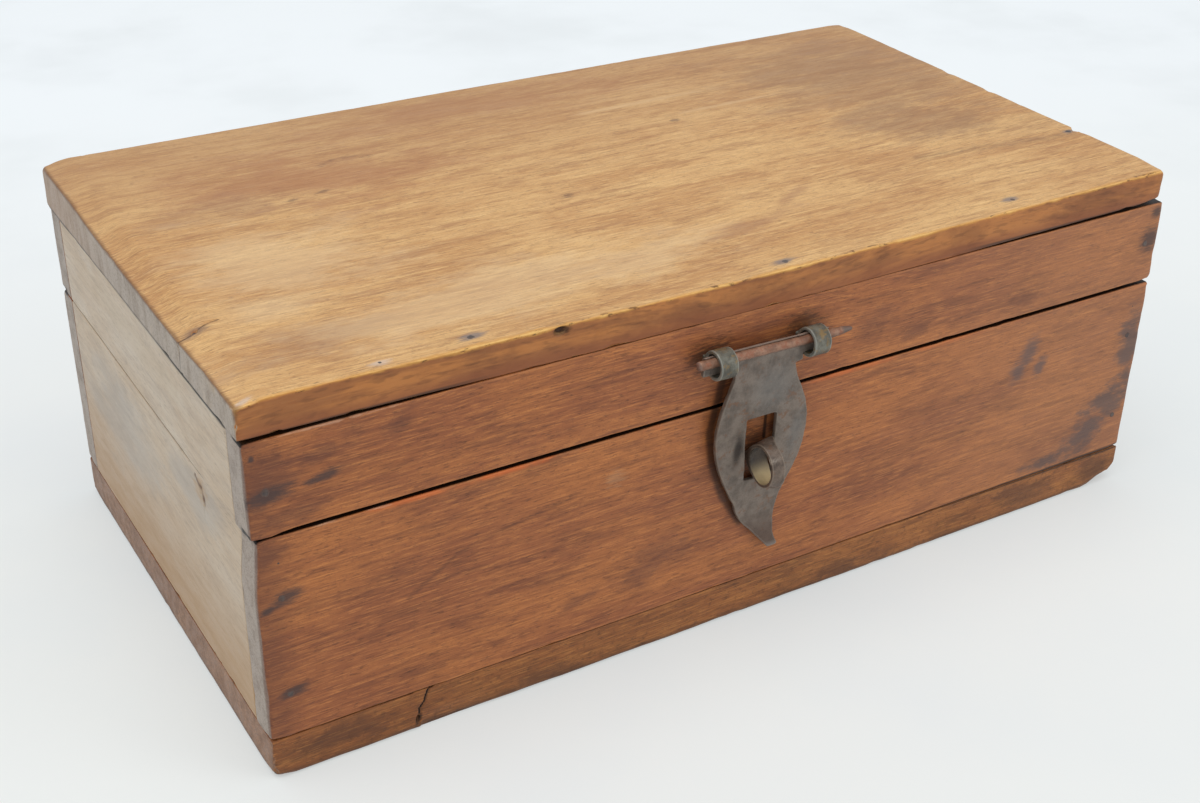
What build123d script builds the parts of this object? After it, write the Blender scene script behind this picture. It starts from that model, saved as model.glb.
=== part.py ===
from build123d import *
import os
from math import cos, radians, sin, tan

# Desk letter box: a long nailed wooden box with a lid that turns on two butt hinges at the back,
# and a forged iron hasp on the lid that drops over a round lock eye on the front.
# Millimetres. The origin is the middle of the underside, +X runs along the front to the right,
# the front faces -Y, and +Z is up.

# ---- Driving dimensions: the wood -------------------------------------------------------------

LENGTH = 305.0  # outside, along X
DEPTH = 165.0  # outside, front to back
BOARD = 10.5  # walls of the body and rails of the lid
BOTTOM_THICK = 13.0
WALL_TOP = 74.5  # upper edge of the four walls
FRONT_RAIL_FOOT = 75.5  # the lid's front rail has shrunk, so it stands a little clear
BACK_RAIL_FOOT = 75.0
END_RAIL_FOOT = 74.7
RAIL_TOP = 102.2
TOP_LEFT = -153.3  # the top board overhangs the left end
TOP_RIGHT = 150.8  # and stops short of the right one
TOP_WARP = 1.0  # how far the top board's two front corners have lifted off the rail
TOP_FRONT_MID = 112.0  # upper front arris at the middle
TOP_FRONT_END = 113.2  # and at both corners
TOP_BACK = 116.5  # the board is thicker at the back

WORN_ROUND = 1.5  # handled corners
LONG_BEVEL = 0.6  # long edges
FOOT_ROUND = 3.0  # lower edges of the bottom board
TOP_CORNER_ROUND = 3.0  # plan corners of the top board
TOP_EDGE_BEVEL = 0.7
OLD_HOLE_X = -68.8  # empty nail hole in the top board's front edge
OLD_HOLE_DROP = 2.6  # below the arris
OLD_HOLE_RADIUS = 0.9
OLD_HOLE_DEPTH = 6.0

# ---- Driving dimensions: the nails ------------------------------------------------------------

NAIL_HEAD_RADIUS = 1.8
NAIL_HEAD_SIDES = 6
NAIL_HEAD_THICK = 0.9
NAIL_PROUD = 0.1  # the heads are driven almost flush
NAIL_SHANK = 2.0  # square
NAIL_TAPER = 1.1  # degrees on each face
LONG_NAIL = 28.0
HINGE_NAIL = 9.5
HINGE_NAIL_TAPER = 2.0
BODY_NAIL_X = (-146.0, 146.4)  # through the front and back boards into the ends
BODY_NAIL_Z = (67.0, 56.5, 26.6)
LID_FRONT_NAILS = ((-147.6, 87.8), (146.7, 89.2))
LID_BACK_NAILS = ((-147.0, 88.5), (147.0, 88.5))
TOP_NAILS = (
    (-115.0, -79.0),
    (-89.7, -77.1),
    (6.6, -77.9),
    (92.0, -76.0),
    (-148.3, -41.7),
    (146.8, -43.4),
)
UNDER_NAIL_X = (-112.0, -36.0, 38.0, 113.0)  # up through the bottom board into the long walls
HINGE_NAIL_ASIDE = 9.5
HINGE_NAIL_NEAR = 6.6  # from the hinge's axis
HINGE_NAIL_FAR = 12.2

# ---- Driving dimensions: the ironwork ---------------------------------------------------------

HASP_X = -4.2  # middle of the hasp's pin axis
HASP_Z = 91.1
HASP_OUT = 5.0  # pin axis in front of the wood
HASP_LEAN = 1.2  # degrees, right end lower
EYE_HOLE = 3.5  # radius inside the two lid eyes
EYE_STRIP = 1.0
EYE_WIDTH = 5.6
EYE_LEFT = -15.5  # along the pin axis from its middle
EYE_RIGHT = 15.8
LOCK_HOLE = 6.0  # radius inside the lock eye
LOCK_STRIP = 1.2
LOCK_WIDTH = 4.0
LOCK_X = -4.4
LOCK_Z = 56.1
LOCK_OUT = 7.3
LEG_SLIT = 0.3  # between the two legs of an eye
CLINCH = 7.0  # how far each leg is turned over inside
CLINCH_BEVEL = 0.4  # where the strip turns

SHEET = 1.5  # hasp plate
SHEET_TILT = 3.13  # degrees, the tip lies nearer the wood
SHEET_OUT = 0.16  # its front face at the height of the eyes' axis
PIN_RADIUS = 1.32
PIN_SIDES = 16  # a hammered rod
PIN_OUT = 0.35  # pin centre from the eyes' axis, outwards
PIN_UP = 1.15
PIN_LEFT = -23.3
PIN_RIGHT = 28.5
PIN_POINT = 7.5  # length of the drawn-out point
PIN_POINT_TAPER = 7.3  # degrees
CURL_INNER = 1.35  # the plate's upper edge is turned up behind the pin
CURL_OUTER = 2.0
CURL_START = 100.0  # degrees from straight out, so that the pin's front stays bare
CURL_SWEEP = 165.0
ARM_LEFT = -21.3  # ends of the plate's two arms along the pin axis
ARM_RIGHT = 20.7
ARM_FOOT = -2.9
ARM_HEAD = 3.4
# Outline of the plate seen from the front, from its axis: along the pin, then up
RIGHT_NECK = ((12.4, -2.9), (12.4, -5.2), (10.2, -5.6))
RIGHT_EDGE = (
    (11.0, -8.6),
    (14.8, -16.8),
    (17.0, -24.5),
    (16.7, -33.0),
    (14.6, -40.6),
    (11.2, -47.8),
    (9.5, -54.5),
    (10.2, -61.7),
    (12.4, -67.4),
)
TIP_EDGE = ((10.6, -69.0), (8.8, -68.0))
LEFT_EDGE = (
    (3.4, -62.2),
    (-1.3, -56.7),
    (-5.8, -49.0),
    (-10.8, -39.2),
    (-13.8, -30.8),
    (-14.5, -23.8),
    (-13.0, -15.2),
    (-10.3, -6.6),
)
LEFT_NECK = (-10.3, -2.9)
SLOT_LEFT = -4.6
SLOT_RIGHT = 5.9
SLOT_TOP = -20.8
SLOT_FOOT = -44.2
SLOT_ROUND = 0.8
TIP_BEND_START = -61.0  # below this the tip is curled outwards
TIP_BEND_RADIUS = 16.0
TIP_BEND_ANGLE = 26.0

HINGE_X = 95.0
HINGE_OUT = 2.9  # pin axis behind the wood
HINGE_KNUCKLE = 2.55
HINGE_PIN_RADIUS = 1.2
HINGE_RUNNING_FIT = 0.05
HINGE_THICK = 1.3
HINGE_WIDTH = 28.0
HINGE_REACH = 16.0  # from the pin axis to a leaf's far edge
HINGE_MIDDLE = 10.0  # the lid's knuckle
HINGE_GAP = 0.25
HINGE_START = 3.0  # where a leaf's full width starts
HINGE_PIN_STICKS_OUT = 0.4

# ---- Worked out from these --------------------------------------------------------------------

HALF_LENGTH = LENGTH / 2
FRONT = -DEPTH / 2
BACK = DEPTH / 2
INSIDE_X = HALF_LENGTH - BOARD
INSIDE_Y = DEPTH / 2 - BOARD
SEAM = BACK_RAIL_FOOT
END_MIDDLE = HALF_LENGTH - BOARD / 2
RAIL_MIDDLE = DEPTH / 2 - BOARD / 2

os.makedirs("parts", exist_ok=True)


def keep(part, name):
    """Label a finished piece and write it to its own file."""
    part.label = name
    export_step(part, f"parts/{name}.step")


# ---- Nails: wrought, square and tapered, with small faceted heads ------------------------------


def nails(planes, length, taper, sink=NAIL_HEAD_THICK - NAIL_PROUD):
    """One nail per plane: each plane lies on the surface and faces out of it."""
    with BuildPart() as group:
        with BuildSketch(*[plane.offset(-sink) for plane in planes]):
            RegularPolygon(NAIL_HEAD_RADIUS, NAIL_HEAD_SIDES)
        extrude(amount=NAIL_HEAD_THICK)
        with BuildSketch(*[plane.offset(-sink) for plane in planes]):
            Rectangle(NAIL_SHANK, NAIL_SHANK)
        extrude(amount=-length, taper=taper)
    return group.part


def on_front(x, z):
    return Plane(origin=(x, FRONT, z), x_dir=(1, 0, 0), z_dir=(0, -1, 0))


def on_back(x, z):
    return Plane(origin=(x, BACK, z), x_dir=(-1, 0, 0), z_dir=(0, 1, 0))


def on_top(x, y):
    """A point on the top board's upper face, which climbs from the front edge to the back one."""
    front_z = TOP_FRONT_MID + (TOP_FRONT_END - TOP_FRONT_MID) * (x / HALF_LENGTH) ** 2
    share = (y - FRONT) / DEPTH
    return Plane.XY.offset(front_z + (TOP_BACK - front_z) * share).move(Location((x, y, 0)))


def on_underside(x, y):
    return Plane(origin=(x, y, 0), x_dir=(1, 0, 0), z_dir=(0, 0, -1))


body_corner_nails = nails(
    [face(x, z) for face in (on_front, on_back) for x in BODY_NAIL_X for z in BODY_NAIL_Z],
    LONG_NAIL,
    NAIL_TAPER,
)
keep(body_corner_nails, "body_corner_nails")

lid_corner_nails = nails(
    [on_front(x, z) for x, z in LID_FRONT_NAILS] + [on_back(x, z) for x, z in LID_BACK_NAILS],
    LONG_NAIL,
    NAIL_TAPER,
)
keep(lid_corner_nails, "lid_corner_nails")

lid_top_nails = nails([on_top(x, y) for x, y in TOP_NAILS], LONG_NAIL, NAIL_TAPER)
keep(lid_top_nails, "lid_top_nails")

bottom_nails = nails(
    [on_underside(x, y) for x in UNDER_NAIL_X for y in (-RAIL_MIDDLE, RAIL_MIDDLE)]
    + [on_underside(x, 0) for x in (-END_MIDDLE, END_MIDDLE)],
    LONG_NAIL,
    NAIL_TAPER,
    sink=NAIL_HEAD_THICK,
)
keep(bottom_nails, "bottom_nails")


def hinge_nail_planes(rise):
    """Three nails through each leaf of both hinges; rise is +1 on the lid and -1 on the body."""
    spots = (
        (-HINGE_NAIL_ASIDE, HINGE_NAIL_NEAR),
        (HINGE_NAIL_ASIDE, HINGE_NAIL_NEAR),
        (0.0, HINGE_NAIL_FAR),
    )
    return [
        on_back(side * HINGE_X + dx, SEAM + rise * dz).offset(HINGE_THICK)
        for side in (-1, 1)
        for dx, dz in spots
    ]


hinge_lid_nails = nails(hinge_nail_planes(1), HINGE_NAIL, HINGE_NAIL_TAPER, sink=0.0)
keep(hinge_lid_nails, "hinge_lid_nails")

hinge_body_nails = nails(hinge_nail_planes(-1), HINGE_NAIL, HINGE_NAIL_TAPER, sink=0.0)
keep(hinge_body_nails, "hinge_body_nails")


# ---- Eyes: strips bent round a bar, their legs driven through a board and clinched inside ------

LEAN = radians(HASP_LEAN)
PIN_AXIS = Vector(cos(LEAN), 0, -sin(LEAN))
HASP_ORIGIN = Vector(HASP_X, FRONT - HASP_OUT, HASP_Z)
OUTWARD = (0, -1, 0)


def across_pin(distance):
    """Plane square to the hasp's pin axis: local x points outwards, local y up."""
    return Plane(HASP_ORIGIN + PIN_AXIS * distance, x_dir=OUTWARD, z_dir=-PIN_AXIS)


def eye(section, hole, strip, width, stand_off):
    """The closed ring, its two legs side by side, and their clinched ends."""
    inner_face = stand_off + BOARD
    far = inner_face + strip
    ring_back = hole + strip / 2
    with BuildPart() as staple:
        with BuildSketch(section) as profile:
            Circle(hole + strip)
            with Locations((-(ring_back + far) / 2, 0)):
                Rectangle(far - ring_back, 2 * strip + LEG_SLIT)
            with Locations((-(inner_face + far) / 2, 0)):
                Rectangle(strip, 2 * (CLINCH + strip))
            chamfer(profile.vertices().group_by(Axis.X)[0], CLINCH_BEVEL)
            Circle(hole, mode=Mode.SUBTRACT)
            with Locations((-(hole + far) / 2, 0)):
                Rectangle(far - hole + strip, LEG_SLIT, mode=Mode.SUBTRACT)
        extrude(amount=width / 2, both=True)
    return staple.part


def leg_hole(section, width, strip, stand_off):
    """What the two legs of an eye cut out of the board they go through."""
    with BuildPart() as hole:
        with BuildSketch(section):
            with Locations((-(stand_off + BOARD / 2), 0)):
                Rectangle(BOARD, 2 * strip + LEG_SLIT)
        extrude(amount=width / 2, both=True)
    return hole.part


for name, distance in (("hasp_eye_left", EYE_LEFT), ("hasp_eye_right", EYE_RIGHT)):
    keep(eye(across_pin(distance), EYE_HOLE, EYE_STRIP, EYE_WIDTH, HASP_OUT), name)

lock_section = Plane(
    origin=(LOCK_X, FRONT - LOCK_OUT, LOCK_Z), x_dir=OUTWARD, z_dir=(-1, 0, 0)
)
keep(eye(lock_section, LOCK_HOLE, LOCK_STRIP, LOCK_WIDTH, LOCK_OUT), "lock_eye")


# ---- Body: bottom board and four walls ---------------------------------------------------------

with BuildPart() as bottom_board:
    with BuildSketch(Plane.XY):
        Rectangle(LENGTH, DEPTH)
    extrude(amount=BOTTOM_THICK)
    fillet(bottom_board.faces().sort_by(Axis.Z)[0].edges(), FOOT_ROUND)
    add(bottom_nails, mode=Mode.SUBTRACT)
keep(bottom_board.part, "bottom_board")


def long_board(facing, foot, head, fittings):
    """A board over the whole length: facing is -1 at the front and +1 at the back."""
    with BuildPart() as plank:
        with BuildSketch(Plane.XY.offset(foot)):
            with Locations((0, facing * RAIL_MIDDLE)):
                Rectangle(LENGTH, BOARD)
        extrude(amount=head - foot)
        outer = plank.faces().sort_by(Axis.Y)[0 if facing < 0 else -1]
        fillet(outer.edges().filter_by(Axis.Z), WORN_ROUND)
        outer = plank.faces().sort_by(Axis.Y)[0 if facing < 0 else -1]
        chamfer(outer.edges().filter_by(Axis.X), LONG_BEVEL)
        for fitting in fittings:
            add(fitting, mode=Mode.SUBTRACT)
    return plank.part


def end_board(side, foot, head, fittings):
    """A board between the two long ones: side is -1 at the left and +1 at the right."""
    with BuildPart() as plank:
        with BuildSketch(Plane.XY.offset(foot)):
            with Locations((side * END_MIDDLE, 0)):
                Rectangle(BOARD, 2 * INSIDE_Y)
        extrude(amount=head - foot)
        outer = plank.faces().sort_by(Axis.X)[0 if side < 0 else -1]
        chamfer(outer.edges().filter_by(Axis.Y), LONG_BEVEL)
        for fitting in fittings:
            add(fitting, mode=Mode.SUBTRACT)
    return plank.part


lock_hole = leg_hole(lock_section, LOCK_WIDTH, LOCK_STRIP, LOCK_OUT)
front_fittings = (body_corner_nails, bottom_nails, lock_hole)
keep(long_board(-1, BOTTOM_THICK, WALL_TOP, front_fittings), "front_board")
back_fittings = (body_corner_nails, bottom_nails, hinge_body_nails)
keep(long_board(1, BOTTOM_THICK, WALL_TOP, back_fittings), "back_board")
for name, side in (("left_end_board", -1), ("right_end_board", 1)):
    wall = end_board(side, BOTTOM_THICK, WALL_TOP, (body_corner_nails, bottom_nails))
    keep(wall, name)


# ---- Lid: four rails and a top board that has bowed along its front ----------------------------

eye_holes = [
    leg_hole(across_pin(distance), EYE_WIDTH, EYE_STRIP, HASP_OUT)
    for distance in (EYE_LEFT, EYE_RIGHT)
]
front_fittings = (lid_corner_nails, lid_top_nails, *eye_holes)
keep(long_board(-1, FRONT_RAIL_FOOT, RAIL_TOP, front_fittings), "lid_front_rail")
back_fittings = (lid_corner_nails, hinge_lid_nails)
keep(long_board(1, BACK_RAIL_FOOT, RAIL_TOP, back_fittings), "lid_back_rail")
for name, side in (("lid_left_end", -1), ("lid_right_end", 1)):
    rail = end_board(side, END_RAIL_FOOT, RAIL_TOP, (lid_corner_nails, lid_top_nails))
    keep(rail, name)

top_middle = (TOP_LEFT + TOP_RIGHT) / 2
with BuildPart() as lid_top:
    with BuildSketch(Plane.XZ.offset(-FRONT)):
        with BuildLine():
            ThreePointArc(
                (TOP_LEFT, RAIL_TOP + TOP_WARP),
                (top_middle, RAIL_TOP),
                (TOP_RIGHT, RAIL_TOP + TOP_WARP),
            )
            Line((TOP_RIGHT, RAIL_TOP + TOP_WARP), (TOP_RIGHT, TOP_FRONT_END))
            ThreePointArc(
                (TOP_RIGHT, TOP_FRONT_END), (top_middle, TOP_FRONT_MID), (TOP_LEFT, TOP_FRONT_END)
            )
            Line((TOP_LEFT, TOP_FRONT_END), (TOP_LEFT, RAIL_TOP + TOP_WARP))
        make_face()
    with BuildSketch(Plane.XZ.offset(-BACK)):
        with BuildLine():
            Polyline(
                (TOP_LEFT, RAIL_TOP),
                (TOP_RIGHT, RAIL_TOP),
                (TOP_RIGHT, TOP_BACK),
                (TOP_LEFT, TOP_BACK),
                close=True,
            )
        make_face()
    loft(ruled=True)
    fillet(lid_top.edges().filter_by(Axis.Z), TOP_CORNER_ROUND)
    chamfer(lid_top.faces().sort_by(Axis.Z)[-1].edges(), TOP_EDGE_BEVEL)
    with Locations(on_front(OLD_HOLE_X, TOP_FRONT_MID - OLD_HOLE_DROP)):
        Hole(OLD_HOLE_RADIUS, OLD_HOLE_DEPTH)
    add(lid_top_nails, mode=Mode.SUBTRACT)
keep(lid_top.part, "lid_top")


# ---- Hasp: one sheet, turned up behind its pin, leaf-shaped, slotted, with a curled tip ---------

tilt = tan(radians(SHEET_TILT))


def sheet_front(up):
    """How far out the plate's front face lies at a height measured from the eyes' axis."""
    return SHEET_OUT + tilt * up


bend_start = Vector(sheet_front(TIP_BEND_START), TIP_BEND_START)
sheet_top = Vector(sheet_front(PIN_UP), PIN_UP)
with BuildPart() as hasp_plate:
    with BuildSketch(across_pin(0)):
        with BuildLine() as front_line:
            flat = Line(sheet_top, bend_start)
            JernArc(flat @ 1, flat % 1, TIP_BEND_RADIUS, TIP_BEND_ANGLE)
            offset(amount=SHEET, side=Side.RIGHT)
        make_face()
        with BuildLine():
            CenterArc(
                (PIN_OUT, PIN_UP), (CURL_INNER + CURL_OUTER) / 2, CURL_START, CURL_SWEEP
            )
        trace(line_width=CURL_OUTER - CURL_INNER)
        with Locations((PIN_OUT, PIN_UP)):
            Circle(CURL_INNER, mode=Mode.SUBTRACT)
    extrude(amount=ARM_RIGHT - ARM_LEFT, both=True)
    # Outline seen from the front: local x along the pin axis, local y up
    outline = Plane(HASP_ORIGIN, x_dir=PIN_AXIS, z_dir=OUTWARD)
    with BuildSketch(outline):
        with BuildLine():
            right_neck = Polyline((ARM_RIGHT, ARM_FOOT), *RIGHT_NECK)
            right_side = Spline(right_neck @ 1, *RIGHT_EDGE)
            tip = ThreePointArc(right_side @ 1, *TIP_EDGE)
            left_side = Spline(tip @ 1, *LEFT_EDGE)
            Polyline(
                left_side @ 1,
                LEFT_NECK,
                (ARM_LEFT, ARM_FOOT),
                (ARM_LEFT, ARM_HEAD),
                (ARM_RIGHT, ARM_HEAD),
                (ARM_RIGHT, ARM_FOOT),
            )
        make_face()
        with Locations(((SLOT_LEFT + SLOT_RIGHT) / 2, (SLOT_TOP + SLOT_FOOT) / 2)):
            RectangleRounded(
                SLOT_RIGHT - SLOT_LEFT, SLOT_TOP - SLOT_FOOT, SLOT_ROUND, mode=Mode.SUBTRACT
            )
    extrude(amount=3 * HASP_OUT, both=True, mode=Mode.INTERSECT)
keep(hasp_plate.part, "hasp_plate")

with BuildPart() as hasp_pin:
    pin_section = across_pin(0).offset(-PIN_LEFT)
    with BuildSketch(pin_section):
        with Locations((PIN_OUT, PIN_UP)):
            RegularPolygon(PIN_RADIUS, PIN_SIDES)
    extrude(amount=PIN_LEFT + PIN_POINT - PIN_RIGHT)
    point_end = hasp_pin.faces().sort_by(Axis.X)[-1]
    extrude(point_end, amount=PIN_POINT, taper=PIN_POINT_TAPER)
keep(hasp_pin.part, "hasp_pin")


# ---- Hinges: two butt hinges nailed to the back -------------------------------------------------


def hinge_section(x):
    """Plane square to the hinge axis: local x points to the back, local y up."""
    return Plane(origin=(x, BACK + HINGE_OUT, SEAM), x_dir=(0, 1, 0), z_dir=(1, 0, 0))


def knuckle(x, length, rise, fit):
    """One rolled knuckle with the strip that joins it to its leaf."""
    with BuildPart() as roll:
        with BuildSketch(hinge_section(x)):
            Circle(HINGE_KNUCKLE)
            with Locations((HINGE_THICK / 2 - HINGE_OUT, rise * HINGE_START / 2)):
                Rectangle(HINGE_THICK, HINGE_START)
            Circle(HINGE_PIN_RADIUS + fit, mode=Mode.SUBTRACT)
        extrude(amount=length / 2, both=True)
    return roll.part


def hinge_leaf(x, rise, fasteners):
    """A flat leaf with its knuckles: rise is +1 for the lid's leaf and -1 for the body's."""
    outer_length = (HINGE_WIDTH - HINGE_MIDDLE) / 2 - HINGE_GAP
    outer_x = (HINGE_WIDTH - outer_length) / 2
    rolls = [(0.0, HINGE_MIDDLE)] if rise > 0 else [(-outer_x, outer_length), (outer_x, outer_length)]
    with BuildPart() as leaf:
        with BuildSketch(Plane.XZ.offset(-BACK)):
            with Locations((x, SEAM + rise * (HINGE_START + HINGE_REACH) / 2)):
                Rectangle(HINGE_WIDTH, HINGE_REACH - HINGE_START)
        extrude(amount=-HINGE_THICK)
        for dx, length in rolls:
            add(knuckle(x + dx, length, rise, HINGE_RUNNING_FIT))
        add(fasteners, mode=Mode.SUBTRACT)
    return leaf.part


for side_name, side in (("left", -1), ("right", 1)):
    x = side * HINGE_X
    keep(hinge_leaf(x, 1, hinge_lid_nails), f"hinge_lid_leaf_{side_name}")
    keep(hinge_leaf(x, -1, hinge_body_nails), f"hinge_body_leaf_{side_name}")
    with BuildPart() as hinge_pin:
        with BuildSketch(hinge_section(x)):
            Circle(HINGE_PIN_RADIUS)
        extrude(amount=HINGE_WIDTH / 2 + HINGE_PIN_STICKS_OUT, both=True)
    keep(hinge_pin.part, f"hinge_pin_{side_name}")
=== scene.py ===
from math import cos, hypot, pi, radians, sin

import bmesh
import bpy
from mathutils import Matrix, Vector, noise


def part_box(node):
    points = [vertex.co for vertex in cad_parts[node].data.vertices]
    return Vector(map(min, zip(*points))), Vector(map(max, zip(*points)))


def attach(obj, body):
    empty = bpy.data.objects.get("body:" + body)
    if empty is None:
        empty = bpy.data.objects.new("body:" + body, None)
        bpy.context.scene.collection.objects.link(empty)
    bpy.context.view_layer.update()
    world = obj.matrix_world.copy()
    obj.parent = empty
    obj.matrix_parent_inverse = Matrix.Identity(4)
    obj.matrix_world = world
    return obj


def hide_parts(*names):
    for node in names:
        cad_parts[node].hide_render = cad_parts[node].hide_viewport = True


# The looks of the desk letter box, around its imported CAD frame. Lengths are in millimetres and become
# metres when a mesh is made. The front faces -Y and the origin is the middle of the underside.

MM = 0.001
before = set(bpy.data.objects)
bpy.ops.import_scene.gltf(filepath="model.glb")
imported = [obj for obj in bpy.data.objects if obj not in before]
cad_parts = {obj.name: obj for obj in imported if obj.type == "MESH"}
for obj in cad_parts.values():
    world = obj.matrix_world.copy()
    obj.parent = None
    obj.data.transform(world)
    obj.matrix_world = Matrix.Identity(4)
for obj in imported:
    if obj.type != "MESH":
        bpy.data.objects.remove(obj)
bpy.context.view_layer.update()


# ---- Small helpers ----


def box_mm(node):
    """Lowest and highest corner of a CAD node, in millimetres."""
    low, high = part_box(node)
    return low / MM, high / MM


def ease(value, low, high):
    """0 at low, 1 at high, smooth between; low may be above high."""
    share = min(1, max(0, (value - low) / (high - low)))
    return share * share * (3 - 2 * share)


def wander(point, size, seed=0):
    """Smooth noise from -1 to 1 whose bumps are about size across."""
    return noise.noise(point / size + Vector((seed, 1.7 * seed, -seed)))


def near_line(point, line):
    """Distance from a flat point to a line of flat points."""
    best = 1e9
    for (ax, ay), (bx, by) in zip(line, line[1:]):
        dx, dy = bx - ax, by - ay
        share = ((point[0] - ax) * dx + (point[1] - ay) * dy) / (dx * dx + dy * dy)
        share = min(1, max(0, share))
        best = min(best, hypot(point[0] - ax - share * dx, point[1] - ay - share * dy))
    return best


def set_inputs(node, values):
    """Constant numbers and colours on a node's own sockets."""
    for name, value in values.items():
        node.inputs[name].default_value = value


def add_object(name, data):
    added = bpy.data.objects.new(name, data)
    bpy.context.scene.collection.objects.link(added)
    return added


def smooth(mesh):
    mesh.polygons.foreach_set("use_smooth", [True] * len(mesh.polygons))


def new_object(name, points, faces):
    """A smooth mesh from points in millimetres."""
    mesh = bpy.data.meshes.new(name)
    mesh.from_pydata([tuple(point * MM) for point in points], [], faces)
    smooth(mesh)
    mesh.update()
    return add_object(name, mesh)


def point_values(mesh, name, values):
    attribute = mesh.attributes.new(name, "FLOAT", "POINT")
    attribute.data.foreach_set("value", values)


def stand_for(piece, node, body, material):
    """Lets a piece take a CAD node's place."""
    piece.data.materials.clear()
    piece.data.materials.append(material)
    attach(piece, body)
    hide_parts(node)


def colour(red, green, blue):
    """An sRGB colour of 0 to 255 as Blender's linear one."""
    def linear(part):
        part = part / 255
        return part / 12.92 if part <= 0.04045 else ((part + 0.055) / 1.055) ** 2.4
    return (linear(red), linear(green), linear(blue), 1)


# ---- Camera and lights ----

CAMERA_PLACE = (-0.254206, -0.409181, 0.301576)
CAMERA_AZIMUTH = radians(-31.396)
CAMERA_ELEVATION = radians(29.265)
CAMERA_ROLL = radians(0.947)
CAMERA_LENS = 50.06
SENSOR = 36


def make_camera():
    azimuth, elevation, roll = CAMERA_AZIMUTH, CAMERA_ELEVATION, CAMERA_ROLL
    back = Vector((sin(azimuth) * cos(elevation), -cos(azimuth) * cos(elevation), sin(elevation)))
    right = Vector((0, 0, 1)).cross(back).normalized()
    up = back.cross(right)
    turned_right = right * cos(roll) + up * sin(roll)
    turned_up = up * cos(roll) - right * sin(roll)
    data = bpy.data.cameras.new("camera")
    data.lens = CAMERA_LENS
    data.sensor_width = SENSOR
    data.clip_start = 0.01
    camera = add_object("camera", data)
    turn = Matrix((turned_right, turned_up, back)).transposed()
    camera.matrix_world = Matrix.Translation(CAMERA_PLACE) @ turn.to_4x4()
    bpy.context.scene.camera = camera


def area_light(name, place, size, power):
    data = bpy.data.lights.new(name, "AREA")
    data.size = size
    data.energy = power
    data.color = LAMP_TINT
    lamp = add_object(name, data)
    lamp.location = place
    lamp.rotation_euler = (Vector(LAMP_TARGET) - Vector(place)).to_track_quat("-Z", "Y").to_euler()


LAMP_TARGET = (0, 0, 0.05)
LAMP_TINT = (1, 0.985, 0.96)
AMBIENT = (0.93, 0.965, 1)
AMBIENT_STRENGTH = 0.6
WALL = (232, 236, 239)  # sRGB


def make_world():
    """Soft light from all round. The camera sees the wall behind the floor in the floor's own tint."""
    world = bpy.data.worlds.new("studio")
    world.use_nodes = True
    tree = world.node_tree
    light = tree.nodes["Background"]
    set_inputs(light, {"Color": (*AMBIENT, 1), "Strength": AMBIENT_STRENGTH})
    wall = tree.nodes.new("ShaderNodeBackground")
    set_inputs(wall, {"Color": colour(*WALL)})
    seen = tree.nodes.new("ShaderNodeLightPath").outputs["Is Camera Ray"]
    both = tree.nodes.new("ShaderNodeMixShader")
    for socket, source in zip(both.inputs, (seen, light.outputs[0], wall.outputs[0])):
        tree.links.new(source, socket)
    tree.links.new(both.outputs[0], tree.nodes["World Output"].inputs["Surface"])
    bpy.context.scene.world = world


# ---- Material graphs ----


FINE_BUMP = 0.06


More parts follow.
